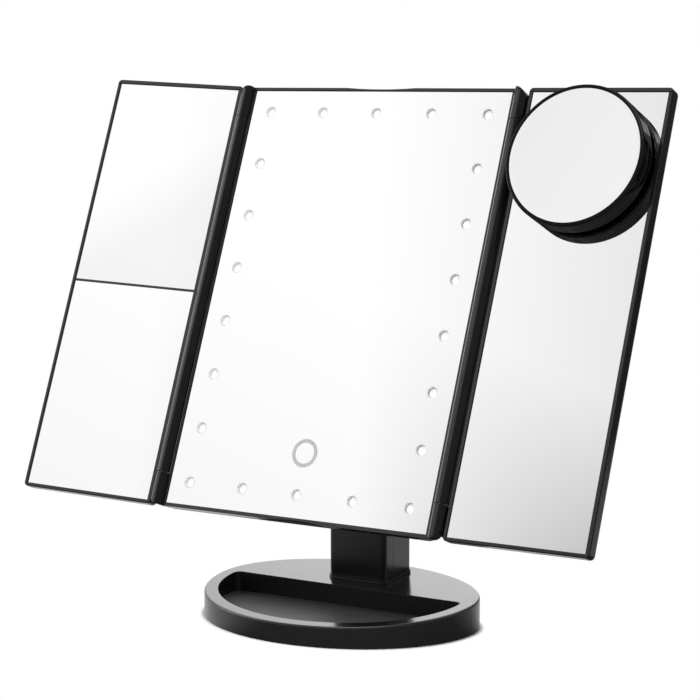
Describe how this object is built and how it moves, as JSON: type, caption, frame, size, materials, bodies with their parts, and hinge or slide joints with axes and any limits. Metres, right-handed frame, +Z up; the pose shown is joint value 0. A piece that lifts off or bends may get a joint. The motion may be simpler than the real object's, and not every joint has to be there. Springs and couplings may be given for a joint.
{
  "type": "lighted makeup mirror",
  "caption": "Free-standing trifold vanity mirror with lights round the centre glass, folding side wings, a stick-on round magnifier, a tilting column and an oval tray base.",
  "frame": {"origin": "centre of the underside of the base, on the plane of the feet", "axes": "+Z up, +X to the right as the user sees the mirror, the user looks along +Y"},
  "size_m": [0.3354, 0.1154, 0.2824],
  "materials": {
    "black_moulding": "satin black moulded plastic",
    "mirror_glass": "silvered glass",
    "light_window": "frosted window",
    "led_chip": "phosphor cap",
    "circuit": "white solder mask",
    "grey_print": "etched ring",
    "brass_pad": "bright",
    "steel": "zinc plated",
    "rubber": "matt",
    "clear_rubber": "clear soft",
    "cell_wrap": "wrapped cell"
  },
  "bodies": {
    "stand": {"axle_nut": "steel", "base_bottom_plate": "black_moulding", "base_feet": "rubber", "base_screws": "steel", "base_shell": "black_moulding", "base_weight": "steel", "batteries": "cell_wrap", "battery_contacts": "steel", "battery_holder": "black_moulding", "circuit_board": "circuit", "column_collar": "black_moulding", "column_front_shell": "black_moulding", "column_rear_shell": "black_moulding", "column_screws": "steel", "friction_washers": "steel", "power_switch_body": "black_moulding", "tilt_axle": "steel", "usb_socket": "steel"},
    "panel": {"centre_frame": "black_moulding", "centre_mirror": "mirror_glass", "led_windows": "light_window", "leds": "led_chip", "led_board": "circuit", "touch_ring": "grey_print", "touch_sensor": "brass_pad", "rear_cover": "black_moulding", "rear_screws": "steel", "tilt_bracket": "black_moulding", "bracket_screws": "steel", "hinge_pins": "steel"},
    "left_wing": {"left_wing_frame": "black_moulding", "left_upper_mirror": "mirror_glass", "left_lower_mirror": "mirror_glass", "left_wing_back": "black_moulding"},
    "right_wing": {"right_wing_frame": "black_moulding", "right_wing_mirror": "mirror_glass", "right_wing_back": "black_moulding"},
    "spot_mirror": {"spot_mirror_bezel": "black_moulding", "spot_mirror_neck": "black_moulding", "spot_mirror_body": "black_moulding", "spot_mirror_glass": "mirror_glass", "spot_suction_cup": "clear_rubber"},
    "door": {"battery_door": "black_moulding"},
    "switch": {"power_switch_knob": "black_moulding"}
  },
  "joints": [
    {"name": "panel_tilt", "type": "hinge", "parent": "stand", "child": "panel", "pos_m": [0, 0.03475, 0.16], "axis": [-1, 0, 0], "range_deg": [-22.2, 67.8]},
    {"name": "left_wing_fold", "type": "hinge", "parent": "panel", "child": "left_wing", "pos_m": [-0.0842, 0.00044, 0.16936], "axis": [0, 0.3778, 0.9259], "range_deg": [-7.1, 172.9]},
    {"name": "right_wing_fold", "type": "hinge", "parent": "panel", "child": "right_wing", "pos_m": [0.0842, 0.00044, 0.16936], "axis": [0, -0.3778, -0.9259], "range_deg": [-0.6, 99.4]},
    {"name": "spot_mirror_pull", "type": "slide", "parent": "right_wing", "child": "spot_mirror", "axis": [-0.0105, -0.9258, 0.3778], "range_m": [0, 0.015]},
    {"name": "battery_door_lift", "type": "slide", "parent": "stand", "child": "door", "axis": [0, 1, 0], "range_m": [0, 0.02]},
    {"name": "power_switch_slide", "type": "slide", "parent": "stand", "child": "switch", "axis": [1, 0, 0], "range_m": [0, 0.004]}
  ]
}
